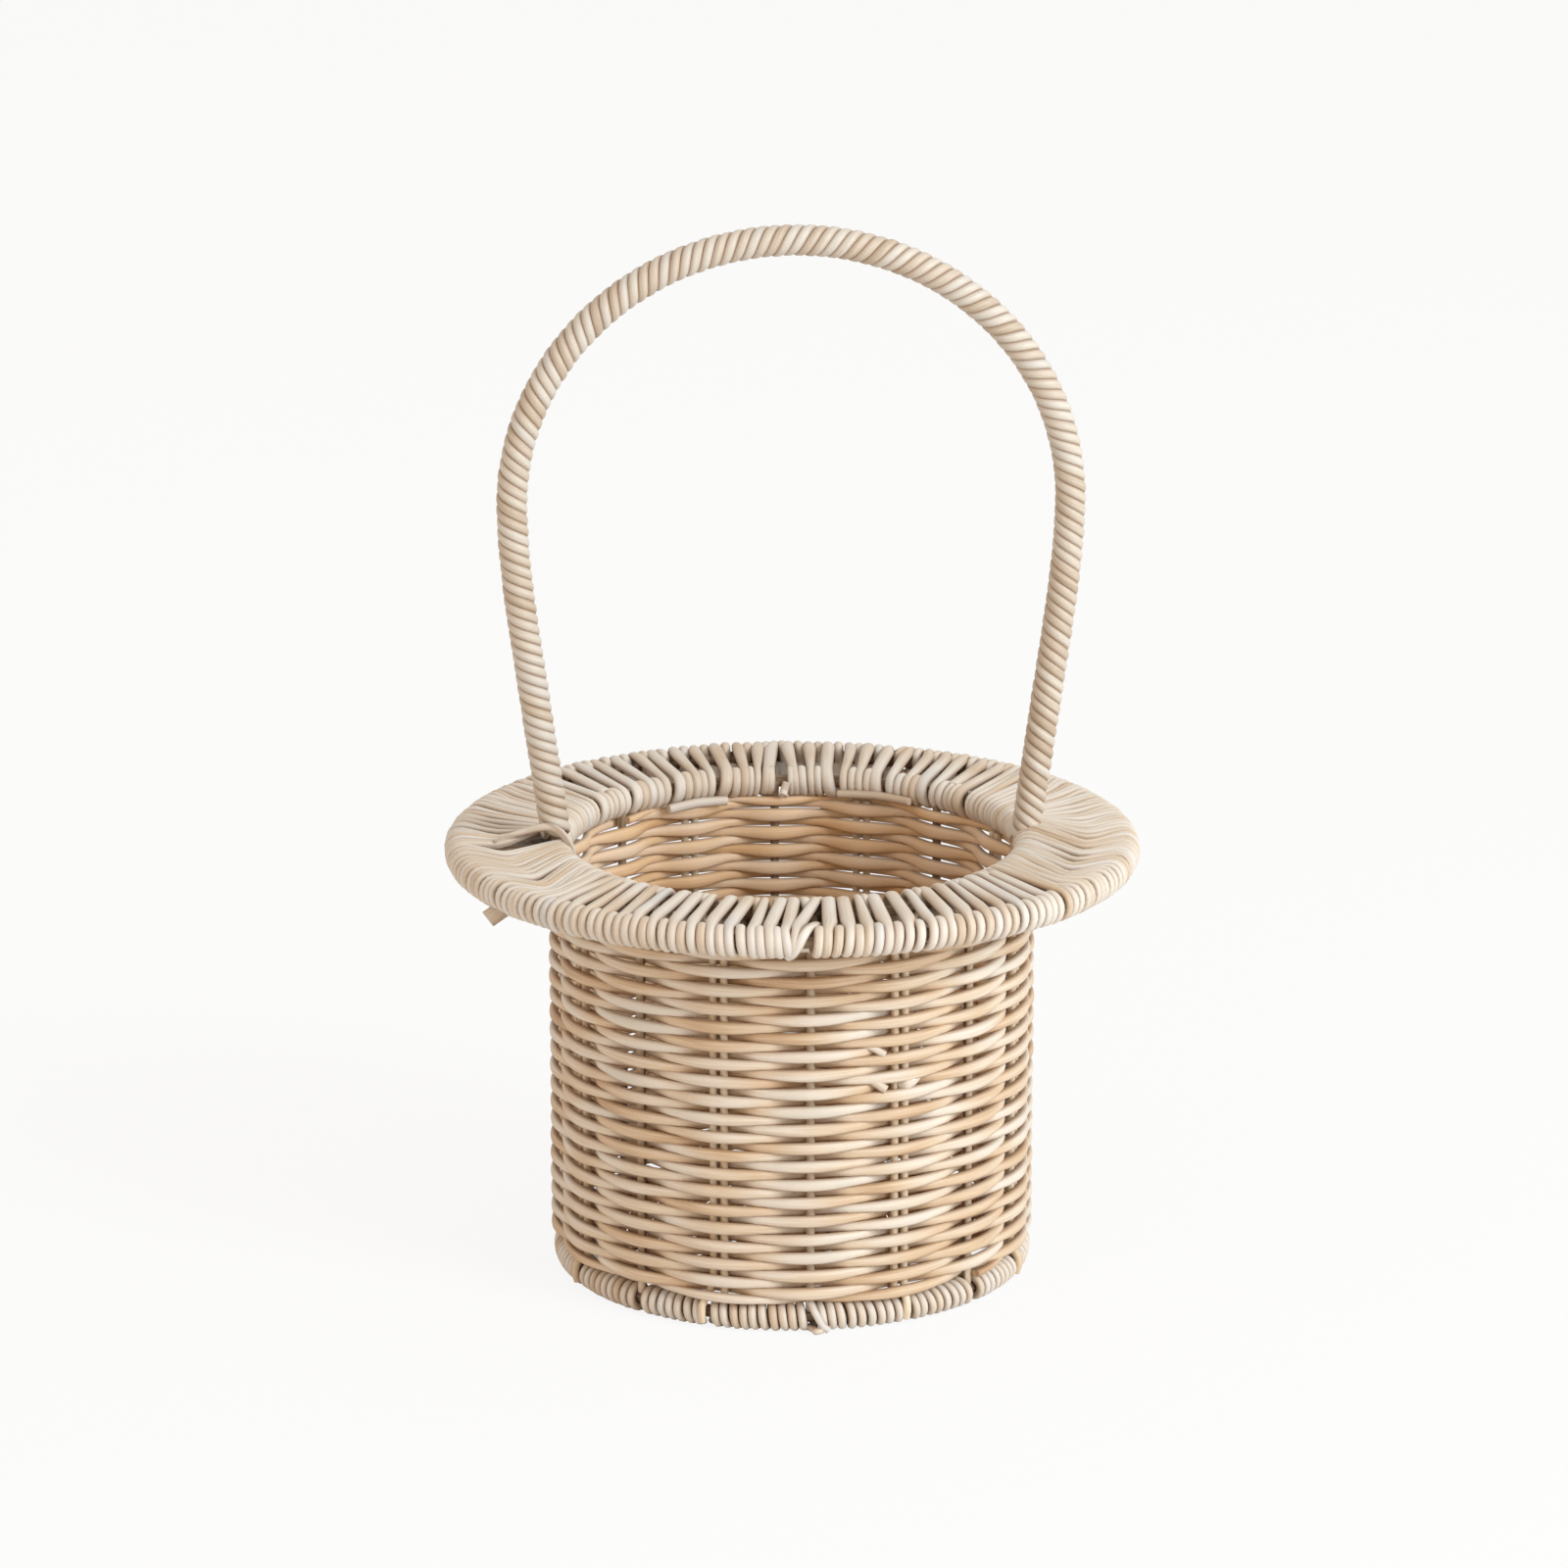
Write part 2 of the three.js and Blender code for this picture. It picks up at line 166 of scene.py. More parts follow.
def strand(path, side, half_width, half_thickness, facets=10, square=1.0):
    """A closed strand along the points of a path. Its section is cos(a) half widths along the side
    and sin(a) half thicknesses along the third direction, each raised to the power square, so
    below 1 it grows a squarer section. Gives points, the same points as if the strand lay
    straight along X, how far each is towards its sides from 0 to 1, the quads and the end caps."""
    count = len(path)
    along = unit(np.gradient(path, axis=0))
    wide = unit(side - (side * along).sum(1, keepdims=True) * along)
    thick = np.cross(along, wide)
    angle = np.arange(facets) * 2 * np.pi / facets
    cosine = np.sign(np.cos(angle)) * np.abs(np.cos(angle)) ** square
    sine = np.sign(np.sin(angle)) * np.abs(np.sin(angle)) ** square
    across = np.broadcast_to(half_width, count)[:, None] * cosine
    through = np.broadcast_to(half_thickness, count)[:, None] * sine
    points = path[:, None] + across[..., None] * wide[:, None] + through[..., None] * thick[:, None]
    steps = np.linalg.norm(np.diff(path, axis=0), axis=1)
    length = np.concatenate([[0], np.cumsum(steps)])
    straight = np.stack([np.broadcast_to(length[:, None], across.shape), across, through], -1)
    edge = np.broadcast_to(np.abs(np.cos(angle)), across.shape)
    number = np.arange(count * facets).reshape(count, facets)
    after = np.roll(number, -1, axis=1)
    quads = np.stack([number[:-1], after[:-1], after[1:], number[1:]], -1).reshape(-1, 4)
    caps = [number[0, ::-1], number[-1]]
    return points.reshape(-1, 3), straight.reshape(-1, 3), edge.ravel(), quads, caps


dice = np.random.default_rng(11)


def piece(name, strands, finish, slot, *nodes):
    """One mesh of several strands, which stands for the nodes. Its attributes are straight and
    edge, as strand gives them, and tone, a random number for each strand."""
    points, straight, edges, quads, caps = zip(*strands)
    counts = [len(rows) for rows in points]
    firsts = np.cumsum([0] + counts[:-1])
    tones = [np.full(count, dice.uniform(0, 1)) for count in counts]
    quads = np.concatenate([rows + first for rows, first in zip(quads, firsts)])
    caps = [cap + first for pair, first in zip(caps, firsts) for cap in pair]
    sizes = np.array([4] * len(quads) + [len(cap) for cap in caps])
    mesh = bpy.data.meshes.new(name)
    mesh.vertices.add(sum(counts))
    mesh.vertices.foreach_set("co", np.concatenate(points).ravel())
    mesh.loops.add(int(sizes.sum()))
    mesh.loops.foreach_set("vertex_index", np.concatenate([quads.ravel()] + caps))
    mesh.polygons.add(len(sizes))
    mesh.polygons.foreach_set("loop_start", np.concatenate([[0], np.cumsum(sizes)[:-1]]))
    mesh.polygons.foreach_set("use_smooth", np.arange(len(sizes)) < len(quads))
    mesh.update(calc_edges=True)
    for label, kind, values, key in (
        ("straight", "FLOAT_VECTOR", straight, "vector"),
        ("edge", "FLOAT", edges, "value"),
        ("tone", "FLOAT", tones, "value"),
    ):
        attribute = mesh.attributes.new(label, kind, "POINT")
        attribute.data.foreach_set(key, np.concatenate(values).ravel())
    mesh.materials.append(finish.holder)
    made = bpy.data.objects.new(name, mesh)
    bpy.context.scene.collection.objects.link(made)
    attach(made, "root")
    if nodes:
        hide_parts(*nodes)


def around(radius, angle, height):
    """Points at a radius, an angle about Z and a height."""
    radius, angle, height = np.broadcast_arrays(radius, angle, height)
    return np.stack([radius * np.cos(angle), radius * np.sin(angle), height], -1)


def middle(node):
    """The middle of a node's box."""
    low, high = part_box(node)
    return (low + high) / 2


def rod_finish(name, painted_light_side):
    """Brown rod: a dull grey-brown with darker runs and small scratches along it. bleached is how far
    painted light turns pale the side that faces out of the basket, away from the third direction."""
    finish = Finish(name)
    straight = finish.add("Attribute", {"attribute_name": "straight"}, {}, output="Vector")
    tone = finish.add("Attribute", {"attribute_name": "tone"}, {}, output="Fac")
    streak = finish.grain(straight, 60, 900, 4)
    base = finish.add("ValToRGB", {"stops": [
        (0.3, paint(112, 88, 66)),
        (0.5, paint(146, 122, 98)),
        (0.72, paint(172, 150, 128)),
    ]}, {"Fac": streak * 0.85 + tone * 0.15})
    through = finish.add("SeparateXYZ", {}, {"Vector": straight}, output="Z")
    # Painted light: the side facing out of the basket is lightened towards (226, 208, 184), as where
    # the lamps fall on it.
    outer = finish.add("Clamp", {}, {"Value": through * -1500 + streak - 0.5})
    base = finish.mix(outer * painted_light_side, base, paint(226, 208, 184))
    bump = finish.add("Bump", {}, {"Height": streak, "Strength": 0.3, "Distance": 0.2 * mm})
    shader = finish.add("BsdfPrincipled", {}, {
        "Base Color": base,
        "Roughness": streak * 0.3 + 0.4,
        "Normal": bump,
    })
    finish.close(shader)
    return finish


rod_brown = rod_finish("frame_rod", 0.0)
hoop_rod_radius = 2.3 * mm
hoop_height = middle("top_hoop").z
foot_height = middle("base_hoop").z
cad_rod_radius = 1.95 * mm  # of the three hoops in the frame
foot_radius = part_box("base_hoop")[1].x - cad_rod_radius
mouth_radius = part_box("top_hoop")[1].x - cad_rod_radius
brim_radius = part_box("brim_hoop")[1].x - cad_rod_radius
hoop_points = 241
for name, radius, height in (
    ("base_hoop", foot_radius, foot_height),
    ("top_hoop", mouth_radius, hoop_height),
    ("brim_hoop", brim_radius, hoop_height),
):
    path = around(radius, np.linspace(0, 2 * np.pi, hoop_points), height)
    up = np.broadcast_to([0.0, 0.0, 1.0], path.shape)
    hoop = strand(path, up, hoop_rod_radius, hoop_rod_radius)
    piece(f"{name}_rod", [hoop], rod_brown, "frame_rod", name)


# Eight brown uprights stand from hoop to hoop. Each is one straight rod, painted paler on the side
# that faces out as light falls on it, with its ends bound in by the windings of the hoops.
upright_brown = rod_finish("upright_rod", 0.9)
bay_count = 8
stake_count = 2 * bay_count  # an upright and a pair of canes for each bay
stake_step = 2 * np.pi / stake_count
front = -np.pi / 2
stake_circle = -middle("upright_1").y
upright_radius = 1.55 * mm
upright_foot = foot_height + hoop_rod_radius
upright_heights = np.linspace(upright_foot, hoop_height, 60)
for number in range(bay_count):
    angle = front + 2 * number * stake_step
    path = around(stake_circle, angle, upright_heights)
    side = np.broadcast_to(around(1, angle + np.pi / 2, 0), path.shape)
    name = f"upright_{number + 1}"
    upright = strand(path, side, upright_radius, upright_radius)
    piece(f"{name}_rod", [upright], upright_brown, "frame_rod", name)


# Between the uprights stand pairs of light canes, natural round lengths of the weaving strand.
# One of each pair comes out under the lowest row of weave and runs down over the foot ring as a
# short tail. The other ends just above the ring.
def strand_finish(name, shades, depth, seed, painted_groove_shade, inward=0):
    """A weaving strand: tones that change from stretch to stretch, fine streaks along it, sides browned
    by painted shade and a soft sheen. shades are the ramp's stops, depth is how much the streaks darken
    it, seed moves its patterns, groove is how far painted shade browns its sides and inward how far
    painted warm shade and bounce light tint the side that faces into the basket."""
    finish = Finish(name)
    straight = finish.add("Attribute", {"attribute_name": "straight"}, {}, output="Vector")
    tone = finish.add("Attribute", {"attribute_name": "tone"}, {}, output="Fac")
    shift = finish.add("CombineXYZ", {}, {"X": tone * 40 + seed, "Y": tone * 17, "Z": seed})
    patch = finish.grain(straight, 22, 60, 1, shift)
    streak = finish.grain(straight, 55, 1500, 3, shift)
    fibre = finish.grain(straight, 300, 4200, 2, shift)
    base = finish.add("ValToRGB", {"stops": shades}, {"Fac": patch * 0.8 + streak * 0.2})
    light = 1 + depth * (streak - 0.5) * 2 + depth * (fibre - 0.5)
    grey = finish.add("CombineColor", {}, {"Red": light, "Green": light, "Blue": light})
    base = finish.mix(1.0, base, grey, "MULTIPLY")
    # Painted warm shade and bounce light: the side facing into the basket is tinted towards (252, 202,
    # 140).
    if inward:
        through = finish.add("SeparateXYZ", {}, {"Vector": straight}, output="Z")
        inner = finish.add("Clamp", {}, {"Value": through * -900})
        base = finish.mix(inner * inward, base, paint(252, 202, 140))
    # Painted shade: the strand's sides are browned towards (142, 102, 64), as the grooves between
    # strands would be shaded.
    edge = finish.add("Attribute", {"attribute_name": "edge"}, {}, output="Fac")
    base = finish.mix(edge ** 3.5 * painted_groove_shade, base, paint(142, 102, 64))
    bump = finish.add("Bump", {}, {
        "Height": streak * 0.6 + fibre * 0.4,
        "Strength": 0.35,
        "Distance": 0.25 * mm,
    })
    shader = finish.add("BsdfPrincipled", {}, {
        "Base Color": base,
        "Roughness": fibre * 0.25 + 0.38,
        "Specular IOR Level": 0.4,
        "Normal": bump,
    })
    finish.close(shader)
    return finish


cane_light = strand_finish("light_cane", [
    (0.3, paint(214, 188, 154)),
    (0.5, paint(232, 212, 184)),
    (0.7, paint(242, 228, 206)),
], 0.12, 3.1, 0.15)
cane_radius = 1.38 * mm
cane_circle = stake_circle + 1.2 * mm
cane_aside = 1.9 * mm  # of each cane from the middle of its bay
cane_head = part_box("cane_1a")[1].z
cane_heights = np.array([60, 17, 10]) * mm
tail_heights = np.array([60, 17, 13, 10.5, 8, 5, 2.2]) * mm
tail_reach = np.array([0, 0, 0, 0.2, 1.3, 2.8, 3.1, 2.2]) * mm  # out over the foot ring
tail_share = np.array([0, 0, 0, 0.4, 0.8, 1, 1, 1])  # of its way to the tail's own angle
# The turn of each bay's tail from the middle of the bay, whose sign says which cane it is.
tail_turns = np.radians([1.2, -1.25, -1.25, -1.25, -1.25, -1.25, -1.25, -3.7])
cane_points = 90
for number in range(bay_count):
    angle = front + (2 * number + 1) * stake_step
    for letter, sign in (("a", -1), ("b", 1)):
        aside = sign * cane_aside / stake_circle
        if tail_turns[number] * sign > 0:
            height = np.append(cane_head, tail_heights)
            radius = cane_circle + tail_reach
            aside = aside + (tail_turns[number] - aside) * tail_share
        else:
            height = np.append(cane_head, cane_heights)
            radius = np.full(len(height), cane_circle)
            aside = np.full(len(height), aside)
        known = np.arange(len(height))
        place = np.linspace(0, len(height) - 1, cane_points)
        radius, aside, height = (np.interp(place, known, row) for row in (radius, aside, height))
        path = around(radius, angle + aside, height)
        side = np.broadcast_to(around(1, angle + np.pi / 2, 0), path.shape)
        name = f"cane_{number + 1}{letter}"
        cane = strand(path, side, cane_radius, cane_radius)
        piece(f"{name}_rod", [cane], cane_light, "light_cane", name)


# Two weavers chase each other up the wall. Each is one long strand that passes outside one kind
# of stake and inside the other. It swells where it bends round a stake and thins where it
# crosses its neighbour.
def wander(distance, spacing, size):
    """A smooth random wander: random values a spacing apart, joined by half waves of a cosine."""
    knots = dice.uniform(-size, size, int(distance[-1] / spacing) + 3)
    place = distance / spacing
    low = np.floor(place).astype(int)
    blend = 0.5 - 0.5 * np.cos(np.pi * (place - low))
    return knots[low] * (1 - blend) + knots[low + 1] * blend


wall_tan = strand_finish("tan_strand", [
    (0.3, paint(193, 158, 123)),
    (0.42, paint(219, 192, 161)),
    (0.52, paint(226, 208, 186)),
    (0.6, paint(232, 220, 206)),
    (0.72, paint(219, 213, 198)),
], 0.13, 7.7, 0.62, inward=0.36)
row_pitch = 3.27 * mm
weaver_turns = 20
level_turns = 0.5  # that each weaver runs on beyond its spiral, first and last
level_rise = 0.5  # there, as a share of the spiral's rise
points_per_stake = 10
weave_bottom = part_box("weaver_a")[0].z
first_row = weave_bottom + 1.6 * mm
outside_reach = 4.0 * mm  # of the bends outside a stake, from the circle of stakes
inside_reach = 2.4 * mm  # of the bends inside a stake
crossing_reach = 2.1 * mm  # that the crossings lie outside the circle
inside_power = 1.6  # above 1 a bend inside a stake is short
weaver_half_height = 1.62 * mm  # at a crossing
weaver_half_depth = 1.5 * mm
outside_swell = 0.6 * mm
inside_swell = 1.0 * mm
swell_power = 1.1
end_thinning = 0.45
foot_gap = 1.4 * mm  # between the lowest row and the foot ring's winding, except at the front
foot_gap_fade = 25 * mm
front_touch = 0.117  # 1 - cos of the angle beside the front over which the row leaves the winding
for name, first_stake, sign in (("weaver_a", -6, 1), ("weaver_b", 2, -1)):
    turns = weaver_turns + 2 * level_turns
    points = int(turns * stake_count * points_per_stake)
    stakes = np.linspace(-level_turns, weaver_turns + level_turns, points) * stake_count
    travel = stakes - stakes[0]
    wave = sign * np.cos(np.pi * (stakes + first_stake))
    outward = (outside_reach - crossing_reach) * wave
    inward = (inside_reach + crossing_reach) * np.abs(wave) ** inside_power
    reach = crossing_reach + np.where(wave > 0, outward, -inward)
    radius = stake_circle + reach + wander(travel, 0.5, 0.12 * mm)
    within = np.clip(stakes / stake_count, 0, weaver_turns)
    beyond = (stakes / stake_count - within) * level_rise
    height = first_row + 2 * row_pitch * (within + beyond)
    from_front = (first_stake + stakes) * stake_step
    beside = 1 - np.exp((np.cos(from_front) - 1) / front_touch)
    height += foot_gap * beside * np.exp((weave_bottom - height) / foot_gap_fade)
    height += wander(travel, 0.5, 0.14 * mm) + wander(travel, 7, 0.12 * mm)
    path = around(radius, front + from_front, height)
    up = np.broadcast_to([0.0, 0.0, 1.0], path.shape)
    swell = np.where(wave > 0, outside_swell, inside_swell) * np.abs(wave) ** swell_power
    half_height = weaver_half_height + swell + wander(travel, 1, 0.1 * mm)
    past_end = np.maximum(-stakes, stakes - weaver_turns * stake_count) / stake_count
    half_height *= 1 - end_thinning * np.clip(past_end / level_turns, 0, 1)
    weaver = strand(path, up, half_height, weaver_half_depth, facets=12, square=0.82)
    piece(f"{name}_strand", [weaver], wall_tan, "tan_strand", name)


# The brim's lacing: one strand in each bay, which runs out over the brim, once or twice round its
# hoop, back underneath and round the mouth ring. The bars fan away from the handle's feet. Beside
# the feet they lie close together and are bent halfway, so they form a row of chevrons.
pale = strand_finish("pale_strand", [
    (0.3, paint(209, 186, 159)),
    (0.42, paint(220, 205, 187)),
    (0.52, paint(226, 216, 203)),
    (0.62, paint(229, 222, 214)),
    (0.72, paint(214, 211, 206)),
], 0.12, 1.3, 0.6)
wrap_radius = 4.45 * mm  # of the strand's middle round a hoop
turn_points = 22.5  # degrees of a turn between points
rim_half = 1.75 * mm  # half the strand's width on the brim hoop
ring_cover = 0.54  # half its width on the mouth ring as a share of its pitch there
ring_halves = (1.3 * mm, 2.4 * mm)  # the least and the most of that
lace_half_thick = 1.35 * mm
bend_dip = 0.2 * mm  # that a bar's middle sinks for each degree of its bend
below_height = -0.4 * wrap_radius  # of the strand underneath, pulled up between the hoops
below_spread = 1.45


def make_room(angle, place, half_gap, reach):
    """Angles pushed apart from a place: by half the gap beside it, and exp(-distance / reach) of
    that further off."""
    away = angle - place
    return angle + np.where(away < 0, -1, 1) * half_gap * np.exp(-np.abs(away) / reach)


def turn_round(centre, sign, start, stop, first, last, half):
    """Rows of radius, angle, height and half width round a hoop, whose turn runs evenly from start
    to stop while the angle runs from first to last. The radius is the hoop's plus sign times
    cos(turn) wrap radii, and the height is sin(turn) of them."""
    turn = np.radians(np.linspace(start, stop, int(abs(stop - start) / turn_points) + 1))
    return np.stack([
        centre + sign * wrap_radius * np.cos(turn),
        np.linspace(first, last, len(turn)),
        wrap_radius * np.sin(turn),
        np.full(len(turn), half),
    ], 1)


def lace_cycle(brim, mouth, bend, bend_radius, rim_extra, ring_extra, half):
    """Rows of one bar and its way back: the bar's middle, the turns round the brim hoop, a point
    underneath, where the strand is flat and wide, and the turns round the mouth ring up to its
    top. brim and mouth are the angles of this bar and the next, and every half turn round a hoop
    takes the same part of the way between them. bend is how far the middle is pushed along."""
    share = (bend_radius - mouth_radius) / (brim_radius - mouth_radius)
    dip = bend_dip * abs(bend) + dice.uniform(-0.8, 0.8) * mm
    bar_angle = mouth[0] + (brim[0] - mouth[0]) * share + bend
    bar = [[bend_radius, bar_angle, wrap_radius - dip, half]]
    half_turn = (brim[1] - brim[0]) / (1 + rim_extra) / 2
    rim_end = brim[0] + half_turn * (1 + 2 * rim_extra)
    rim = turn_round(brim_radius, 1, 90, -90 - 360 * rim_extra, brim[0], rim_end, rim_half)
    half_turn = (mouth[1] - mouth[0]) / (1 + ring_extra) / 2
    ring_start = mouth[1] - half_turn * (1 + 2 * ring_extra)
    below_angle = ring_start + (rim_end - ring_start) * share
    below = [[bend_radius, below_angle, below_height, half * below_spread]]
    ring_half = np.clip(ring_cover * mouth_radius * np.radians(half_turn * 2), *ring_halves)
    ring = turn_round(mouth_radius, -1, -90, 90 + 360 * ring_extra, ring_start, mouth[1], ring_half)
    return np.vstack([bar, rim, below, ring])


pile_start = 100 * mm  # radius inside which the lacing is piled up before a handle foot
pile_depth = 15 * mm  # over which the pile comes to its full height
pile_width = 6  # degrees
pile_end = 4  # degrees past the foot
pile_cut = 0.7  # degrees over which the pile ends there
lace_spacing = 3.5 * mm  # between points on long runs


def lace_path(rows, foot_angle, direction, lift, slit):
    """The strand's centre line in space, with points added evenly on long runs and its corners
    rounded by a running mean, and its half widths. slit is the angle of an opening in the rim and
    half its width. lift is how high the strand is piled up over the mouth ring before the
    handle's foot: a bell curve of the angle, cut off past the foot and faded out towards the
    rim."""
    parted = make_room(rows[:, 1], slit[0], slit[1], 1.5)
    rows[:, 1] = np.where(rows[:, 0] > brim_radius - 1 * mm, parted, rows[:, 1])
    inner = np.clip((pile_start - rows[:, 0]) / pile_depth, 0, 1)
    above = np.clip(rows[:, 2] / wrap_radius, 0, 1)
    before = 1 / (1 + np.exp((rows[:, 1] - pile_end) / pile_cut))
    pile = lift * inner * above * before * np.exp(-(rows[:, 1] / pile_width) ** 2)
    angle = foot_angle + direction * np.radians(rows[:, 1])
    place = around(rows[:, 0], angle, hoop_height + rows[:, 2] + pile)
    rows = np.hstack([place, rows[:, 3:]])
    gaps = np.linalg.norm(np.diff(place, axis=0), axis=1)
    share = np.maximum(np.round(gaps / lace_spacing), 1).astype(int)
    starts = np.repeat(np.arange(len(share)), share)
    part = (np.arange(len(starts)) - np.repeat(np.cumsum(share) - share, share)) / share[starts]
    part = part[:, None]
    rows = np.vstack([rows[starts] * (1 - part) + rows[starts + 1] * part, rows[-1:]])
    rows[1:-1] = rows[1:-1] * 0.5 + (rows[:-2] + rows[2:]) * 0.25
    along = np.arange(len(rows)) * 1.0
    rows[:, :3] += np.stack([wander(along, 8, 0.2 * mm) for axis in range(3)], -1)
    return rows[:, :3], rows[:, 3]


def lace_side(path):
    """The direction of a winding strand's width: along the hoop at each point."""
    angle = np.arctan2(path[:, 1], path[:, 0])
    return around(1, angle + np.pi / 2, 0)


def loose_end(radii, angles, heights, half=1.5 * mm):
    """A short end of strand through points given in mm and degrees, rounded at its bends by
    running means. Its width lies square to its run and to the level way out from the axis."""
    known = np.arange(len(radii))
    place = np.linspace(0, len(radii) - 1, 40)
    radius, angle, height = (np.interp(place, known, row) for row in (radii, angles, heights))
    path = around(radius * mm, np.radians(angle), height * mm)
    for step in range(6):
        path[1:-1] = path[1:-1] * 0.5 + (path[:-2] + path[2:]) * 0.25
    out = path * [1, 1, 0]
    side = np.cross(unit(np.gradient(path, axis=0)), out)
    return strand(path, side, half, 1.2 * mm)


# By bay: three ends inside the mouth at the back, one under the brim and one across the opening
# beside the handle's left foot, and one that comes up over the rim at the front.
loose_ends = {
    3: [
        loose_end([75, 74.8, 75], [73, 62, 51.5], [147.4, 148.2, 147.6], 1.5 * mm),
        loose_end([76, 75.5, 73.5], [86.9, 87.6, 88], [151, 148, 146.6]),
    ],
    4: [loose_end([75.5, 74.8, 75.2], [121, 112, 103.5], [145.0, 146.0, 145.4], 1.8 * mm)],
    6: [
        loose_end([110, 116, 120.6], [-152.3, -152.8, -153.3], [147.3, 144.6, 141.8], 4.2 * mm),
        loose_end(
            [104, 98.2, 93.2, 89, 85.6, 82, 79.5, 77.6, 76.6],
            [-177.2, -178.2, -178, -176.6, -175.6, -175, -174.3, -174.5, -175.5],
            [154, 156, 157.6, 159.4, 160.4, 159.4, 157, 153.5, 149.8],
        ),
    ],
    7: [
        loose_end(
            [116, 118.3, 119.8, 119.2, 116.8, 112.5, 108, 104],
            [-95.3, -94.6, -93.6, -92.9, -92.1, -91, -89.9, -89.3],
            [145.0, 146.2, 149.5, 152.6, 154.4, 154.4, 153.2, 148],
            1.8 * mm,
        ),
    ],
}
dense_pitch = 1.75  # degrees between bars beside the handle, where each is one turn of the rim
half_places = [22, 42]  # degrees on the brim between which the bars grow wide
dense_half = 1.25 * mm
middle_places = [0, 20, 36, 44]  # degrees on the brim
middle_radii = [102 * mm, 103 * mm, 109 * mm, 112 * mm]  # of a bar's middle at those places
upright_place = 45  # degrees from the handle's foot to the upright between its two bays


def lace_quarter(
    foot_angle, direction, bays, table, first_brim, dense_end, open_count, last_brims,
    last_mouths, single, ring_turns, bar_half, slit, lift,
):
    """The lacing of the two bays beside a handle's foot, with angles in degrees from the foot in
    the direction given. Dense bars stand from first_brim to dense_end, and then open_count bars
    lead evenly to the first of last_brims. An open bar goes twice round the brim hoop, apart from
    the last few, which single counts, and ring_turns are its extra turns round the mouth ring.
    Every bar is shifted a little at random, as work by hand leaves it."""
    dense = np.arange(first_brim, dense_end, dense_pitch)
    opened = np.linspace(dense[-1] + dense_pitch, last_brims[0], open_count)
    brims = np.concatenate([dense, opened, last_brims[1:]])
    is_open = np.arange(len(brims)) >= len(dense)
    rim_extra = is_open * (np.arange(len(brims)) < len(brims) - 1 - single)
    ring_extra = is_open * np.resize(ring_turns, len(brims))
    mouths = np.interp(brims, table[0], table[1])
    bends = np.interp(brims, table[0], table[2])
    radii = np.interp(brims, middle_places, middle_radii)
    mouths[1:-1] += dice.uniform(-0.3, 0.3, len(mouths) - 2)
    brims[1:-1] += dice.uniform(-1, 1, len(brims) - 2) * np.where(is_open[1:-1], 0.4, 0.5)
    bends[1:-1] += dice.uniform(-0.8, 0.8, len(brims) - 2) * np.where(is_open[1:-1], 0.6, 1)
    mouths[-len(last_mouths):] = last_mouths
    mouths = make_room(mouths, upright_place, 0.3, 2)
    halves = np.interp(brims, half_places, [dense_half, bar_half])
    cycles = []
    for number in range(len(brims) - 1):
        half = halves[number] * dice.uniform(0.93, 1.04)
        cycles.append(lace_cycle(
            brims[number:number + 2], mouths[number:number + 2], bends[number], radii[number],
            rim_extra[number], ring_extra[number], half,
        ))
    for bay, low, high in ((bays[0], -10, upright_place), (bays[1], upright_place, 95)):
        chosen = [number for number in range(len(cycles)) if low < brims[number] <= high]
        start = [[mouth_radius, mouths[chosen[0]], wrap_radius, cycles[chosen[0]][0, 3]]]
        rows = np.vstack([start] + [cycles[number] for number in chosen])
        path, half = lace_path(rows, foot_angle, direction, lift, slit)
        lace = strand(path, lace_side(path), half, lace_half_thick)
        nodes = [f"brim_lacing_{2 * bay + 1}", f"brim_lacing_{2 * bay + 2}"]
        strands = [lace] + loose_ends.get(bay, [])
        piece(f"brim_lacing_bay_{bay + 1}", strands, pale, "pale_strand", *nodes)


# Each table has a bar's angle on the brim, its angle on the mouth ring and the push of its middle,
# all in degrees from the handle's foot.
right_front = (
    [-9.5, -1, 5, 11, 15, 21, 27, 33, 42, 56, 62, 67.4, 74.4, 79.2, 83.4, 87],
    [-6, -4, -0.5, 5, 10, 17, 22.5, 28.5, 35.5, 49.5, 54.8, 61.4, 70, 76.6, 80.6, 84.3],
    [2.5, 5.2, 7, 7.3, 7.2, 7, 6, 5, 0, 0, 0, 0, 0, 0, 0, 0],
)
left_front = (
    [-9.5, -3, 2.5, 4.3, 9, 14, 20, 28, 34, 42, 50.6, 57, 63, 69.5, 75.7, 82.3],
    [-9.5, -8, -4, 5.4, 7.2, 10.5, 17, 24.5, 29.5, 37.3, 45.6, 52.5, 60.2, 67.8, 75.9, 83.8],
    [4, 4.2, 3, 5.6, 6.6, 7, 7, 6.5, 5, 0, 0, 0, 0, 0, 0, 0],
)
both_back = (
    [4.3, 6.1, 8, 10, 16, 28, 45, 52, 60, 66, 71, 78, 84.4, 90],
    [5.2, 5.5, 5.8, 6.2, 8.5, 17.3, 38, 45.3, 55, 62, 67.6, 75.6, 82.8, 88],
    [-4.7, -3.9, -3, -2.4, 0, 0, 0, 0, 0, 0, 0, 0, 0, 0],
)
lace_quarter(
    foot_angle=0, direction=-1, bays=(1, 0), table=right_front,
    first_brim=-7.9, dense_end=38, open_count=14, last_brims=[85.2, 88.4, 91.2],
    last_mouths=[86, 88], single=0, ring_turns=[0, 0, 1], bar_half=2.65 * mm,
    slit=(44, 0.5), lift=1.5 * mm,
)
lace_quarter(
    foot_angle=0, direction=1, bays=(2, 3), table=both_back,
    first_brim=9.6, dense_end=41, open_count=12, last_brims=[82.9, 86.3, 88.4],
    last_mouths=[85.2, 86], single=0, ring_turns=[0, 1, 1], bar_half=2.6 * mm,
    slit=(66, 1.1), lift=0,
)
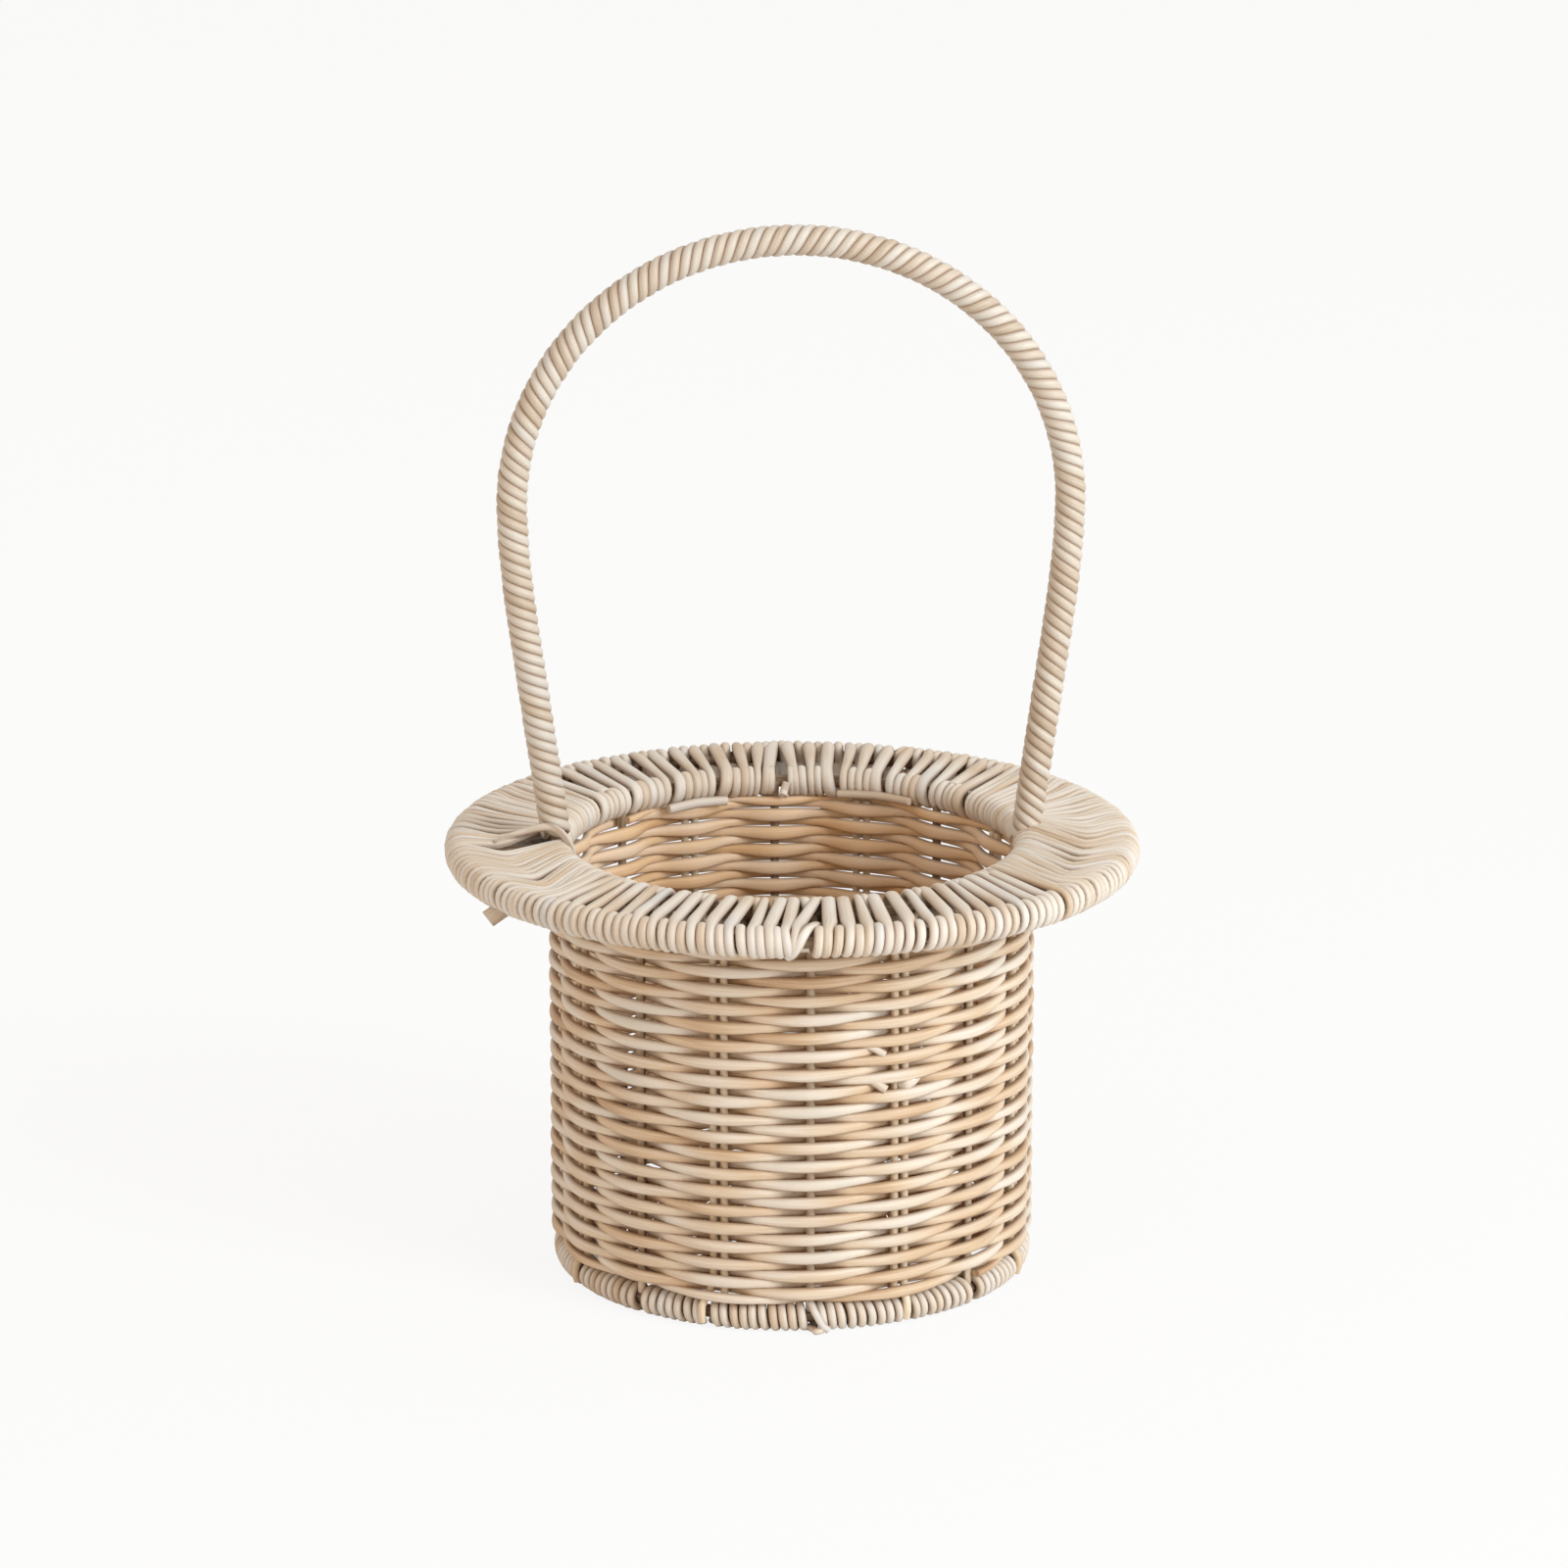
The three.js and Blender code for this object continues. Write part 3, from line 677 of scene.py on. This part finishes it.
lace_quarter(
    foot_angle=np.pi, direction=-1, bays=(5, 4), table=both_back,
    first_brim=4.35, dense_end=41, open_count=12, last_brims=[84.3, 88, 91, 91.9],
    last_mouths=[85.8, 88.6, 89.2], single=1, ring_turns=[0, 1, 1], bar_half=2.6 * mm,
    slit=(71, 0.8), lift=0,
)
lace_quarter(
    foot_angle=np.pi, direction=1, bays=(6, 7), table=left_front,
    first_brim=-2.65, dense_end=38, open_count=14, last_brims=[81.7, 84.2, 86.3, 84.6],
    last_mouths=[86, 91, 91.6], single=2, ring_turns=[0, 0, 1], bar_half=2.45 * mm,
    slit=(39, 0.5), lift=5.6 * mm,
)


# Four spokes hold the brim hoop off the mouth ring, each a short length of the uprights' brown
# rod. The lacing hides them and binds them to both hoops.
spoke_count = 4
spoke_radii = np.linspace(mouth_radius, brim_radius, 12)
for number in range(spoke_count):
    angle = front + 2 * np.pi * number / spoke_count
    path = around(spoke_radii, angle, hoop_height)
    up = np.broadcast_to([0.0, 0.0, 1.0], path.shape)
    name = f"brim_spoke_{number + 1}"
    spoke = strand(path, up, upright_radius, upright_radius)
    piece(f"{name}_rod", [spoke], rod_brown, "frame_rod", name)


# The foot ring is wound with the lacing's strand from upright to upright, with a gap in each bay
# for the tail of a cane. The turns are pressed flat where the basket stands.
foot_wrap_out = 4.3 * mm
foot_wrap_up = 3.8 * mm
foot_wrap_thick = 1.4 * mm
wrap_pitch = 3.3 * mm
wrap_cover = 0.465  # half the strand's width as a share of the pitch
after_upright = 1.3 * mm / foot_radius
before_upright = 1.7 * mm / foot_radius
beside_tail = 1.5 * mm / foot_radius
points_per_wrap = 20
foot_ends = [  # beside the front upright
    loose_end([80.5, 83.5, 84.5, 84.3], [-90, -89.2, -87.4, -86], [10.4, 8, 3, 1.4], 1.35 * mm),
    loose_end([79, 82, 85.5, 84], [-91, -89.5, -89, -87.5], [1.3, 1.3, 1.4, 1.4], 1.2 * mm),
]
for bay in range(bay_count):
    start = front + 2 * bay * stake_step
    tail = start + stake_step + tail_turns[bay]
    runs = []
    for first, last in (
        (start + after_upright, tail - beside_tail),
        (tail + beside_tail, start + 2 * stake_step - before_upright),
    ):
        wraps = round((last - first) * foot_radius / wrap_pitch)
        turn = np.linspace(0, 2 * np.pi * wraps, points_per_wrap * wraps) - np.pi / 2
        share = np.linspace(0, 1, len(turn))
        radius = foot_radius - foot_wrap_out * np.cos(turn)
        height = foot_height + foot_wrap_up * np.sin(turn) + wander(share, 0.04, 0.15 * mm)
        angle = first + (last - first) * share + wander(share, 0.04, 0.3 * mm) / foot_radius
        path = around(radius, angle, height)
        half = wrap_cover * (last - first) * foot_radius / wraps
        wrap = strand(path, lace_side(path), half, foot_wrap_thick)
        points = wrap[0]
        points[:, 2] = np.maximum(points[:, 2], 0)
        runs.append(wrap)
    if bay == 0:
        runs += foot_ends
    piece(f"base_wrap_bay_{bay + 1}", runs, pale, "pale_strand", f"base_wrap_{bay + 1}")


# The handle is a bent rod wound with four strands side by side, as a left-handed screw, from one
# side of the mouth ring over the top to the other. Its feet stand in the brim's lacing.
handle_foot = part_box("handle_rod")[0].z
handle_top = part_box("handle_winding")[1].z
handle_half = 96 * mm  # of the width between the middles of its sides
handle_wide_height = 272.3 * mm  # where it is widest
handle_lean = 0.1415  # of the legs, outwards for each length up
handle_straight = 73 * mm  # height of the straight part of a leg
handle_radius = 5.4 * mm  # over the winding
foot_x = mouth_radius - 1 * mm
bend_x = foot_x + handle_straight * handle_lean
bend_z = handle_foot + handle_straight
corner_z = bend_z + (handle_half - bend_x) / handle_lean


def handle_line(foot_drop, count):
    """The centre line in the XZ plane from the left foot, evenly spaced, and its length so far: a
    straight leg, a bend by a parabola, half an ellipse over the top and the same way down. It
    starts and ends foot_drop below the feet."""
    share = np.linspace(0, 1, 60)[:, None]
    foot = np.array([foot_x - foot_drop * handle_lean, handle_foot - foot_drop])
    bend = np.array([bend_x, bend_z])
    corner = np.array([handle_half, corner_z])
    widest = np.array([handle_half, handle_wide_height])
    leg = foot + (bend - foot) * share
    curve = bend * (1 - share) ** 2 + 2 * corner * share * (1 - share) + widest * share ** 2
    turn = np.linspace(0, np.pi / 2, 300)[:, None]
    rise = handle_top - handle_radius - handle_wide_height
    arch = np.hstack([handle_half * np.cos(turn), handle_wide_height + rise * np.sin(turn)])
    right = np.vstack([leg[:-1], curve[:-1], arch])
    left = right[::-1] * [-1, 1]
    line = np.vstack([right[:-1], left])[::-1]
    steps = np.concatenate([[0], np.cumsum(np.linalg.norm(np.diff(line, axis=0), axis=1))])
    even = np.linspace(0, steps[-1], count)
    line = np.stack([np.interp(even, steps, line[:, axis]) for axis in (0, 1)], -1)
    return line, even


handle_rod_radius = 2.2 * mm
line, length = handle_line(0, 200)
path = np.stack([line[:, 0], 0 * length, line[:, 1]], -1)
side = np.broadcast_to([0.0, 1.0, 0.0], path.shape)
rod = strand(path, side, handle_rod_radius, handle_rod_radius)
piece("handle_core_rod", [rod], rod_brown, "frame_rod", "handle_rod")

handle_strand = strand_finish("handle_strand", [
    (0.3, paint(192, 174, 152)),
    (0.42, paint(208, 193, 176)),
    (0.52, paint(215, 205, 191)),
    (0.62, paint(219, 212, 202)),
    (0.72, paint(207, 202, 194)),
], 0.14, 5.9, 0.9)
strand_count = 4
strand_pitch = 3.95 * mm
strand_half_wide = 1.93 * mm
strand_half_thick = 1.5 * mm
lead = strand_count * strand_pitch
winding_drop = 2 * mm  # that the winding runs on below the rod's right foot
left_cut = 6.3 * mm  # of the same length that is missing at the left foot, where the rod is bare
wound = []
for number in range(strand_count):
    line, length = handle_line(winding_drop, 1000)
    along = unit(np.gradient(line, axis=0))
    roll = 2 * np.pi * (length / lead + number / strand_count)
    helix = handle_radius - strand_half_thick + wander(length, 5 * mm, 0.1 * mm)
    outward = helix * np.cos(roll)
    across = line[:, 0] - along[:, 1] * outward
    height = line[:, 1] + along[:, 0] * outward
    path = np.stack([across, helix * np.sin(roll), height], -1)
    side = np.stack([along[:, 0], 0 * roll, along[:, 1]], -1)
    kept = length > left_cut
    wound.append(strand(path[kept], side[kept], strand_half_wide, strand_half_thick))
piece("handle_wound_strands", wound, handle_strand, "pale_strand", "handle_winding")


# The bottom is a woven mat of browner strand: eight ribs across the foot and two strands that wind
# out from the middle to the foot ring, over and under the ribs by turns.
mat_brown = strand_finish("mat_strand", [
    (0.3, paint(142, 98, 64)),
    (0.5, paint(170, 124, 84)),
    (0.7, paint(192, 150, 108)),
], 0.13, 4.3, 0.8)
mat_low, mat_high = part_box("bottom_mat")
mat_height = (mat_low.z + mat_high.z) / 2
mat_radius = mat_high.x
rib_count = 8
rib_half = 1.3 * mm
rib_half_thick = 0.45 * mm
rib_span = np.linspace(-mat_radius, mat_radius, 60)
mat_strands = []
for number in range(rib_count):
    angle = front + number * np.pi / rib_count
    path = around(rib_span, angle, mat_height)
    side = np.broadcast_to(around(1, angle + np.pi / 2, 0), path.shape)
    mat_strands.append(strand(path, side, rib_half, rib_half_thick))
mat_first = 3.5 * mm  # radius at which the first strand starts
mat_edge = 0.7 * mm  # from the last row's middle to the mat's rim
mat_turns = round((mat_radius - 5 * mm) / (6.2 * mm))  # of each of the two strands
mat_pitch = (mat_radius - mat_first - mat_edge) / (2 * mat_turns + 1)
mat_half_thick = 0.85 * mm
mat_wave = 0.78 * mm  # that a strand rises over a rib
points_per_turn = 96
for sign in (1, -1):
    turn = np.linspace(0, 2 * np.pi * mat_turns, points_per_turn * mat_turns)
    radius = mat_first + mat_pitch * (turn / np.pi + (sign < 0))
    height = mat_height + sign * mat_wave * np.cos(rib_count * turn)
    path = around(radius, front + turn, height)
    up = np.broadcast_to([0.0, 0.0, 1.0], path.shape)
    mat_strands.append(strand(path, up, mat_half_thick, 0.5 * mat_pitch))
piece("bottom_mat_weave", mat_strands, mat_brown, "tan_strand", "bottom_mat")


# Where one length of weaving strand runs out the next is laid in beside it. The trimmed ends stand
# a little out of the wall beside a pair of canes at the front.
joins = [
    loose_end([80.6, 82.4, 83.6], [-77.5, -74.7, -72.4], [102.3, 100.6, 98.4], 1.4 * mm),
    loose_end([80.6, 82.6, 84.0], [-77.2, -74.6, -72.2], [90.6, 88.6, 86.0], 1.6 * mm),
    loose_end([81.5, 83.6, 83.4, 82.0], [-67.9, -66.8, -65.2, -63.3], [86.2, 86.6, 87.4, 88.6], 2 * mm),
]
piece("weaver_join_ends", joins, pale, "pale_strand")


# The studio: a plain white floor that keeps a faint shadow, a white surround, a large soft lamp
# above on the right and a weaker one on the left.
def floor_finish():
    """White floor: to the camera mostly plain white with a share of the lit surface's shadow."""
    finish = Finish("studio_floor")
    paper = finish.add("BsdfDiffuse", {}, {"Color": (0.86, 0.86, 0.86, 1)})
    white = finish.add("Emission", {}, {"Color": (1, 1, 1, 1), "Strength": 1.0})
    seen = finish.add("LightPath", {}, {}, output="Is Camera Ray")
    finish.close(finish.add("MixShader", {}, {0: seen * 0.88, 1: paper, 2: white}))
    return finish


floor_half = 6.0
floor_mesh = bpy.data.meshes.new("floor")
corners = [(-floor_half, -floor_half, 0), (floor_half, -floor_half, 0)]
corners += [(floor_half, floor_half, 0), (-floor_half, floor_half, 0)]
floor_mesh.from_pydata(corners, [], [(0, 1, 2, 3)])
floor_mesh.materials.append(floor_finish().holder)
floor = bpy.data.objects.new("floor", floor_mesh)
bpy.context.scene.collection.objects.link(floor)

surround = Finish("studio", bpy.data.worlds.new("studio"), "World")
room = surround.add("Background", {}, {"Color": (1, 0.93, 0.83, 1), "Strength": 0.66})
white = surround.add("Background", {}, {"Color": (1, 1, 1, 1), "Strength": 1.0})
by_camera = surround.add("LightPath", {}, {}, output="Is Camera Ray")
by_mirror = surround.add("LightPath", {}, {}, output="Is Glossy Ray")
by_glass = surround.add("LightPath", {}, {}, output="Is Transmission Ray")
plain = by_camera + by_mirror + by_glass
surround.close(surround.add("MixShader", {}, {0: plain, 1: room, 2: white}))
bpy.context.scene.world = surround.holder

for name, place, size, power, colour in (
    ("key_lamp", (1.78, -1.5, 1.3), 1.3, 49.0, (0.9, 0.96, 1)),
    ("left_lamp", (-1.9, -1.4, 0.8), 1.6, 5.5, (1, 0.55, 0.28)),
):
    lamp = bpy.data.objects.new(name, bpy.data.lights.new(name, "AREA"))
    lamp.data.size = size
    lamp.data.energy = power
    lamp.data.color = colour
    lamp.location = place
    lamp.rotation_euler = (aim - Vector(place)).to_track_quat("-Z", "Y").to_euler()
    bpy.context.scene.collection.objects.link(lamp)

bpy.context.scene.view_settings.view_transform = "Standard"
